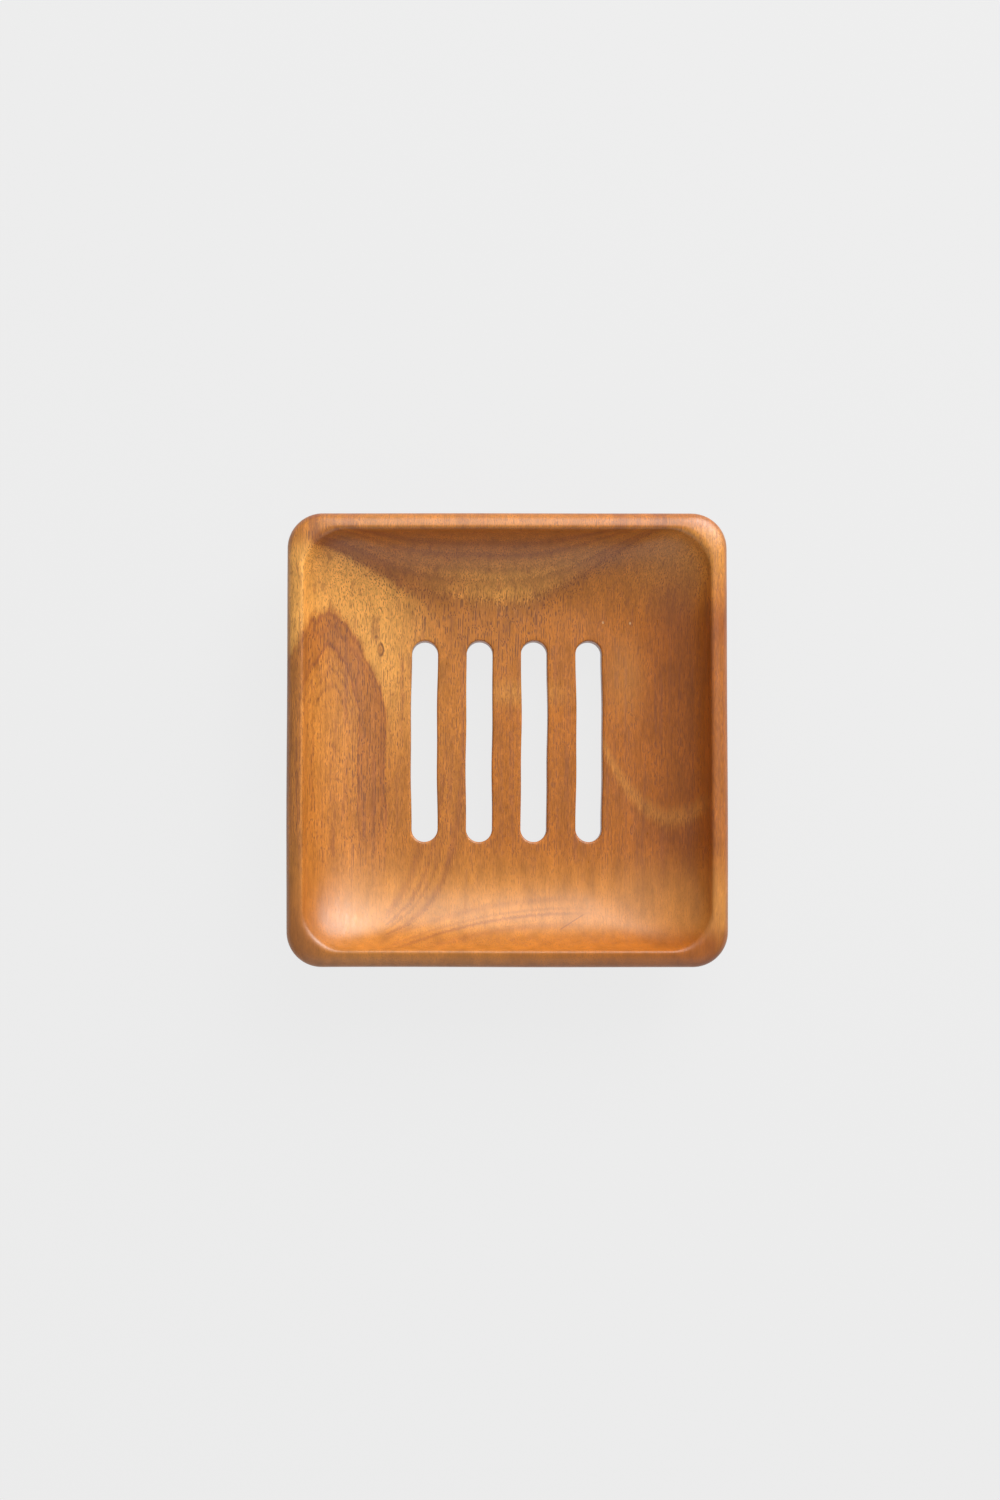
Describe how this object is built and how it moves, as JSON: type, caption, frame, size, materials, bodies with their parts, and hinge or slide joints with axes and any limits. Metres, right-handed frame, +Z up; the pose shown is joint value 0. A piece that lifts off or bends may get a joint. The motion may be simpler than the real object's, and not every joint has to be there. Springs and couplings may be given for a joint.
{
  "type": "soap dish",
  "caption": "Square soap dish carved from one block of wood, with a coved hollow, a rounded rim, a row of through drain slots and small stick-on feet.",
  "frame": {"origin": "on the surface that the dish stands on, under the middle of the dish", "axes": "+Z up, out of the hollow; +Y with the grain and along the drain slots; +X along their row"},
  "size_m": [0.1074, 0.1108, 0.0223],
  "materials": {
    "wood": "satin lacquer",
    "foot": "soft, translucent",
    "adhesive": "film"
  },
  "bodies": {
    "root": {"dish": "wood", "foot_front_left": "foot", "adhesive_front_left": "adhesive", "foot_front_right": "foot", "adhesive_front_right": "adhesive", "foot_rear_left": "foot", "adhesive_rear_left": "adhesive", "foot_rear_right": "foot", "adhesive_rear_right": "adhesive"}
  },
  "joints": []
}
